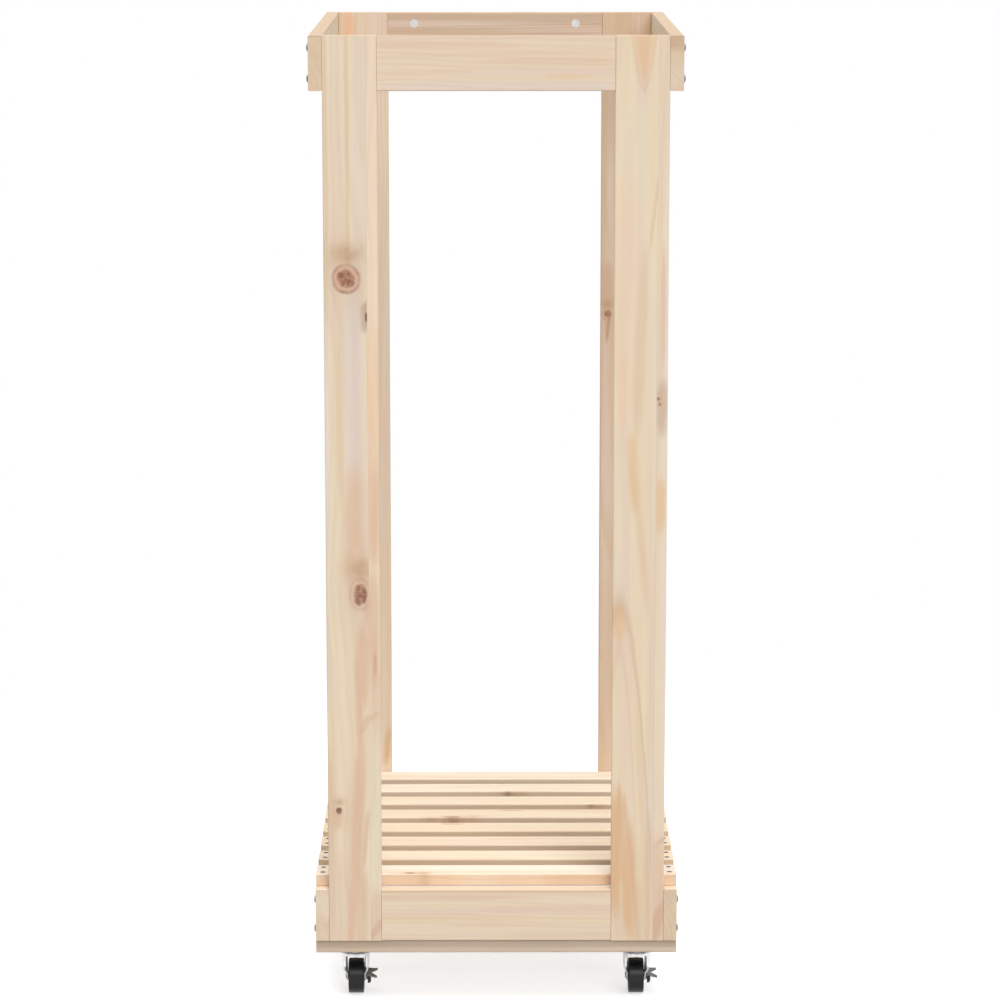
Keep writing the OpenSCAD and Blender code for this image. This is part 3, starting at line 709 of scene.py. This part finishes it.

# What each board gives to pine(). Its marks are placed in mm from its middle.
# Painted shade: the top rails, top side boards and front bottom rail are darkened along their top
# edge, and slats 2 to 8 along their long edges
TIMBER = {
    "post_front_left": dict(
        run="post", seed=1.3, pith=(26.0, -95.0), lean=0.012, spacing=3.8, contrast=0.10,
        joint=17.7,
        knots=((-4.9, 246.0, 15.5, 1.08, 1.0, 1.0), (16.8, 203.0, 2.3, 3.6, 0.75, 0.2),
               (8.7, -109.0, 12.5, 1.45, 1.0, 0.3), (-17.4, -359.0, 5.2, 1.2, 0.75, 0.2)),
        streaks=((-27.0, 120.0, 6.0, 250.0, 0.0, 0.9, EDGE_CREAM),
                 (9.0, 240.0, 6.0, 24.0, 0.0, 0.5, PINK_TAN),
                 (13.4, 203.0, 5.5, 17.0, 0.0, 0.9, srgb(190, 167, 142)),
                 (24.0, 339.0, 8.5, 230.0, 0.0, 0.8, PALE_PEACH),
                 (24.0, 54.0, 8.5, 150.0, 0.0, 0.9, PEACH),
                 (-3.1, 382.0, 2.8, 170.0, 0.0, 0.9, TAN),
                 (9.5, 397.0, 9.0, 160.0, 0.0, 0.55, LILAC_GREY),
                 (2.5, 128.0, 11.0, 140.0, 0.0, 1.0, LILAC_GREY),
                 (-13.0, 91.0, 4.0, 110.0, 0.0, 0.8, TAN),
                 (3.0, -44.0, 13.5, 85.0, 0.0, 0.9, PINK_TAN),
                 (3.5, -88.0, 6.5, 34.0, 0.0, 0.5, PALE_PEACH),
                 (24.0, -16.5, 8.0, 60.0, 0.0, 0.8, PINK_TAN),
                 (14.5, -118.0, 4.0, 30.0, 0.0, 0.9, PINK_TAN),
                 (22.0, -137.0, 8.0, 52.0, 0.0, 0.85, PINK_TAN),
                 (10.5, -190.0, 9.0, 52.0, 0.0, 1.0, PINK_TAN),
                 (-27.0, -400.0, 6.0, 120.0, 0.0, 0.8, FOOT_TAN),
                 (-16.0, -472.0, 14.0, 70.0, 0.0, 0.6, ROSE_CREAM),
                 (-3.0, -405.0, 9.0, 85.0, 0.0, 0.4, FOOT_TAN),
                 (7.0, -478.0, 9.0, 58.0, 0.0, 0.8, FOOT_TAN),
                 (23.0, -184.0, 5.5, 36.0, 0.0, 0.8, PINK_TAN),
                 (25.0, -232.0, 6.0, 60.0, 0.0, 0.6, PINK_TAN),
                 (5.6, -239.0, 4.5, 60.0, -0.04, 1.0, PINK_TAN),
                 (4.7, -357.0, 8.5, 85.0, 0.05, 1.0, PINK_TAN),
                 (-1.5, -457.0, 6.0, 80.0, 0.08, 1.0, PINK_TAN),
                 (24.2, -189.0, 2.6, 14.0, 0.0, 0.8, SALMON),
                 (21.5, -250.0, 5.0, 6.0, 1.0, 0.45, SALMON),
                 (13.0, -258.0, 5.0, 12.0, 0.4, 0.4, SALMON),
                 (22.0, -383.0, 9.0, 130.0, 0.0, 0.9, OLIVE_CREAM),
                 (23.0, -492.0, 9.0, 42.0, 0.0, 0.7, FOOT_TAN),
                 (12.6, -391.0, 3.0, 36.0, 0.08, 0.5, SALMON),
                 (-23.0, -368.0, 10.0, 14.0, 0.0, 0.8, PINK_TAN),
                 (24.0, -498.0, 6.0, 15.0, 0.72, 0.7, SALMON),
                 (-27.0, 363.0, 3.4, 190.0, 0.0, 0.8, TAN))),
    "post_front_right": dict(
        run="post", seed=4.7, pith=(-36.0, -98.0), lean=0.01, spacing=4.6, contrast=0.09,
        joint=17.6,
        knots=((19.6, 112.0, 2.8, 1.4, 0.5, 0.2), (21.0, 106.0, 2.8, 1.2, 0.4, 0.2)),
        flames=((1.5, 454.0, 17.0, 75.0, 1.7, 0.9, 0.35),
                (-22.0, -122.0, 38.0, -311.0, 2.0, 0.05, 0.6)),
        streaks=((27.5, 20.0, 5.0, 400.0, 0.0, 0.8, EDGE_CREAM),
                 (-18.0, 230.0, 15.0, 140.0, 0.0, 0.5, PEACH),
                 (1.0, 385.0, 7.0, 60.0, 0.0, 0.8, OLIVE_CREAM),
                 (14.0, 321.0, 2.2, 48.0, 0.117, 0.9, TAN),
                 (-0.5, 172.0, 7.5, 115.0, 0.04, 0.9, TAN),
                 (23.8, 212.0, 3.4, 75.0, 0.0, 0.8, PINK_TAN),
                 (-19.7, 118.0, 6.0, 48.0, 0.0, 0.8, PEACH),
                 (23.8, 103.0, 7.0, 34.0, 0.0, 0.9, srgb(208, 183, 159)),
                 (-7.0, 28.5, 7.5, 46.0, -0.05, 0.7, ORANGE_TAN),
                 (1.0, -47.0, 5.0, 90.0, -0.12, 0.5, PINK_TAN),
                 (-22.0, -141.0, 8.0, 23.0, 0.0, 0.9, ORANGE_TAN),
                 (22.5, -8.5, 7.0, 33.0, 0.0, 0.8, ORANGE_TAN),
                 (22.5, -398.0, 6.0, 10.0, 1.1, 0.6, SALMON),
                 (-18.0, -490.0, 12.0, 32.0, 0.0, 0.6, FOOT_TAN),
                 (-25.0, -409.0, 8.0, 78.0, 0.0, 1.0, HONEY),
                 (-17.0, -372.0, 5.0, 34.0, 0.0, 0.7, HONEY),
                 (-21.0, -362.0, 2.6, 36.0, 0.0, 0.9, HONEY),
                 (-7.0, -442.0, 7.0, 75.0, -0.03, 0.8, HONEY),
                 (1.0, -484.0, 6.0, 46.0, 0.0, 0.8, FOOT_TAN),
                 (-13.0, -450.0, 5.5, 62.0, -0.06, 0.9, HONEY),
                 (-6.1, -430.0, 3.0, 90.0, -0.1, 0.4, SALMON),
                 (3.0, -321.0, 4.0, 90.0, -0.05, 0.6, TAN),
                 (21.0, -454.0, 10.5, 68.0, 0.0, 0.8, PINK_TAN),
                 (27.0, -478.0, 5.0, 34.0, 0.0, 0.8, FOOT_TAN),
                 (22.7, -492.0, 7.0, 26.0, 0.23, 0.8, SALMON),
                 (17.5, -362.0, 10.0, 75.0, 0.0, 0.7, LILAC_GREY),
                 (5.0, -456.0, 7.0, 68.0, 0.0, 0.5, TAN),
                 (12.5, -448.0, 5.0, 88.0, 0.0, 0.85, FOOT_TAN))),
    "post_rear_left": dict(
        run="post", seed=8.1, pith=(-40.0, -70.0), lean=0.01, spacing=3.0,
        streaks=((-18.5, 463.0, 8.0, 60.0, 0.0, 0.8, srgb(234, 188, 150)),
                 (24.5, -405.0, 5.0, 26.0, 0.1, 0.6, srgb(208, 172, 130))),
        pale=srgb(227, 207, 183), warm=srgb(220, 190, 158)),
    "post_rear_right": dict(
        run="post", seed=11.9, pith=(-12.0, -64.0), lean=0.014, spacing=3.1,
        knots=((-22.0, 143.0, 7.0, 1.1, 1.0, 0.4),),
        streaks=((-23.5, 131.0, 3.0, 11.0, 0.0, 0.8, srgb(220, 182, 156)),
                 (-20.5, 127.0, 2.6, 20.0, 0.1, 0.9, srgb(180, 144, 115)),
                 (-22.0, 178.0, 9.0, 32.0, 0.0, 0.6, srgb(200, 162, 132))),
        pale=srgb(216, 189, 160), warm=srgb(208, 176, 142)),
    "top_rail_front": dict(
        run="rail", seed=15.2, pith=(70.0, -60.0), lean=0.01, spacing=4.6, contrast=0.15,
        streaks=((20.0, -62.0, 4.5, 95.0, 0.0, 0.5, PINK_TAN),
                 (10.0, -10.0, 2.4, 120.0, 0.02, 0.6, TAN),
                 (3.0, 62.0, 3.6, 80.0, 0.0, 0.5, PINK_TAN),
                 (-9.0, -75.0, 3.0, 60.0, 0.03, 0.6, TAN),
                 (-13.0, 79.0, 4.0, 28.0, 0.0, 0.45, ORANGE_TAN),
                 (-24.0, 20.0, 5.5, 150.0, 0.0, 0.8, LILAC_GREY)),
        top_shade=0.9, fine=1.7, pale=srgb(231, 211, 186)),
    "top_rail_rear": dict(
        run="rail", seed=18.6, pith=(-64.0, -30.0), lean=0.02, spacing=3.2, contrast=0.5,
        top_shade=0.9, fine=1.7, pale=srgb(205, 179, 155), warm=srgb(195, 164, 135)),
    "bottom_rail_front": dict(
        run="rail", seed=22.4, pith=(74.0, -52.0), lean=0.01, spacing=4.4, contrast=0.15,
        streaks=((28.0, 0.0, 1.7, 900.0, 0.0, 0.5, srgb(200, 166, 136)),
                 (21.0, -62.0, 3.5, 110.0, 0.0, 0.7, PINK_TAN),
                 (7.0, 62.0, 4.5, 90.0, 0.0, 0.8, ROSE_CREAM),
                 (-4.0, -62.0, 3.0, 90.0, -0.02, 0.6, TAN),
                 (-11.0, 10.0, 3.0, 70.0, 0.02, 0.6, TAN),
                 (-23.0, 80.0, 4.5, 75.0, 0.0, 0.8, ROSE_CREAM)),
        top_shade=0.2, fine=1.7, pale=srgb(232, 213, 187)),
    "bottom_rail_rear": dict(run="rail", seed=25.8, pith=(-38.0, -70.0), lean=0.02, spacing=3.5),
    "top_side_board_left": dict(
        run="side", seed=29.5, pith=(-40.0, -60.0), lean=0.02, contrast=0.25, top_shade=0.8),
    "top_side_board_right": dict(
        run="side", seed=33.1, pith=(42.0, 66.0), lean=0.02, contrast=0.25, top_shade=0.8,
        streaks=((-14.0, -245.0, 16.0, 6.0, 0.0, 0.9, srgb(243, 228, 208)),
                 (23.0, -240.0, 9.0, 14.0, 0.0, 0.8, srgb(204, 170, 144)))),
    "bottom_side_board_left": dict(
        run="side", seed=36.4, pith=(38.0, 58.0), lean=0.02, contrast=0.25,
        knots=((6.0, 90.0, 7.0, 1.1, 0.8, 1.0),),
        streaks=((12.0, -245.0, 22.0, 6.0, 0.0, 0.9, srgb(252, 240, 222)),),
        pale=srgb(240, 225, 202), warm=srgb(234, 211, 181)),
    "bottom_side_board_right": dict(
        run="side", seed=40.2, pith=(-30.0, -72.0), lean=0.02, contrast=0.25),
    "base_board_front": dict(run="rail", seed=43.9, pith=(-60.0, -44.0), **BASE_WOOD_SHADED),
    "base_board_rear": dict(run="rail", seed=47.3, pith=(-76.0, 38.0), **BASE_WOOD_SHADED),
    "slat_1": dict(
        run="slat", seed=51.7, pith=(26.0, -58.0), knots=((-14.5, -98.0, 4.2, 2.4, 1.0, 0.4),),
        streaks=((-21.0, 0.0, 2.4, 900.0, 0.0, 1.0, srgb(228, 187, 151)),
                 (-21.0, -88.0, 2.6, 62.0, 0.0, 0.8, srgb(238, 203, 170)),
                 (-21.0, 98.0, 2.6, 62.0, 0.0, 0.8, srgb(219, 180, 147))),
        pale=SLAT_PALE),
    "slat_2": dict(run="slat", seed=54.1, pith=(-30.0, -44.0), gap_shade=0.5, warm=srgb(232, 196, 156)),
    "slat_3": dict(run="slat", seed=57.6, pith=(20.0, -70.0), gap_shade=0.5),
    "slat_4": dict(
        run="slat", seed=61.8, pith=(-26.0, -50.0), gap_shade=0.5,
        streaks=((12.5, -52.0, 3.4, 15.0, 0.0, 0.9, SALMON),)),
    "slat_5": dict(
        run="slat", seed=64.9, pith=(24.0, -62.0), gap_shade=0.5,
        knots=((-15.0, -52.0, 6.0, 2.6, 0.6, 0.3),),
        edge_knots=((4.5, -50.0, 6.5, 2.0, 0.9, 0.8), (5.0, -77.0, 5.0, 2.6, 0.5, 0.5)),
        streaks=((12.5, 18.0, 3.0, 18.0, 0.03, 0.8, SALMON),)),
    "slat_6": dict(
        run="slat", seed=68.3, pith=(-26.0, -46.0), gap_shade=0.5,
        edge_knots=((4.5, 117.0, 3.6, 2.0, 0.9, 0.8),)),
    "slat_7": dict(
        run="slat", seed=71.2, pith=(24.0, -66.0), gap_shade=0.5, pale=SLAT_PALE,
        edge_knots=((4.0, 15.0, 5.0, 2.0, 0.8, 0.3), (4.0, 16.0, 3.6, 1.5, 1.0, 0.2))),
    "slat_8": dict(run="slat", seed=75.5, pith=(-22.0, -52.0), gap_shade=0.4, pale=SLAT_PALE),
}
CORNERS = ("front_left", "front_right", "rear_left", "rear_right")
STEEL_NODES = ("frame_bolts", "slat_screws", "base_screws", "caster_screws", "kingpins",
               "race_balls")


def dress(node, material):
    """Gives a CAD node its material."""
    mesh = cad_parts[node].data
    mesh.materials.clear()
    mesh.materials.append(material)


def dress_cart():
    """Gives every piece its finish: its own pine for each board, and one of each metal and
    plastic for the rest."""
    for node, wood in TIMBER.items():
        dress(node, pine(node, **wood))
    zinc = plated("bright_zinc", bright=srgb(236, 237, 239), dull=srgb(214, 216, 219),
                  smooth=0.28, rough=0.45, metallic=0.65)
    steel = plated("screw_steel", bright=srgb(150, 150, 152), dull=srgb(96, 96, 98),
                   smooth=0.30, rough=0.50)
    pedal = plated("pedal_steel", bright=srgb(122, 123, 125), dull=srgb(94, 95, 97),
                   smooth=0.30, rough=0.50, metallic=0.3)
    plastic = moulded("black_moulding", deep=srgb(20, 20, 22), scuffed=srgb(38, 38, 40),
                      smooth=0.35, rough=0.55)
    rubber = moulded("black_tyre", deep=srgb(17, 17, 18), scuffed=srgb(32, 32, 33),
                     smooth=0.24, rough=0.38, gloss=0.30)
    for node in STEEL_NODES:
        dress(node, steel)
    dress("barrel_nuts", plated("nut_zinc", bright=srgb(243, 243, 246), dull=srgb(222, 222, 226),
                                smooth=0.25, rough=0.45))
    for corner in CORNERS:
        dress("plate_" + corner, zinc)
        dress("fork_" + corner, zinc)
        dress("axle_" + corner, steel)
        dress("wheel_core_" + corner, plastic)
        dress("tyre_" + corner, rubber)
    for side in ("left", "right"):
        dress("brake_washer_" + side, steel)
        dress("brake_pedal_" + side, pedal)
        dress("brake_cam_" + side, plastic)


make_camera()
make_world()
make_lamps()
make_floor()
dress_cart()
bpy.context.scene.view_settings.view_transform = "Standard"
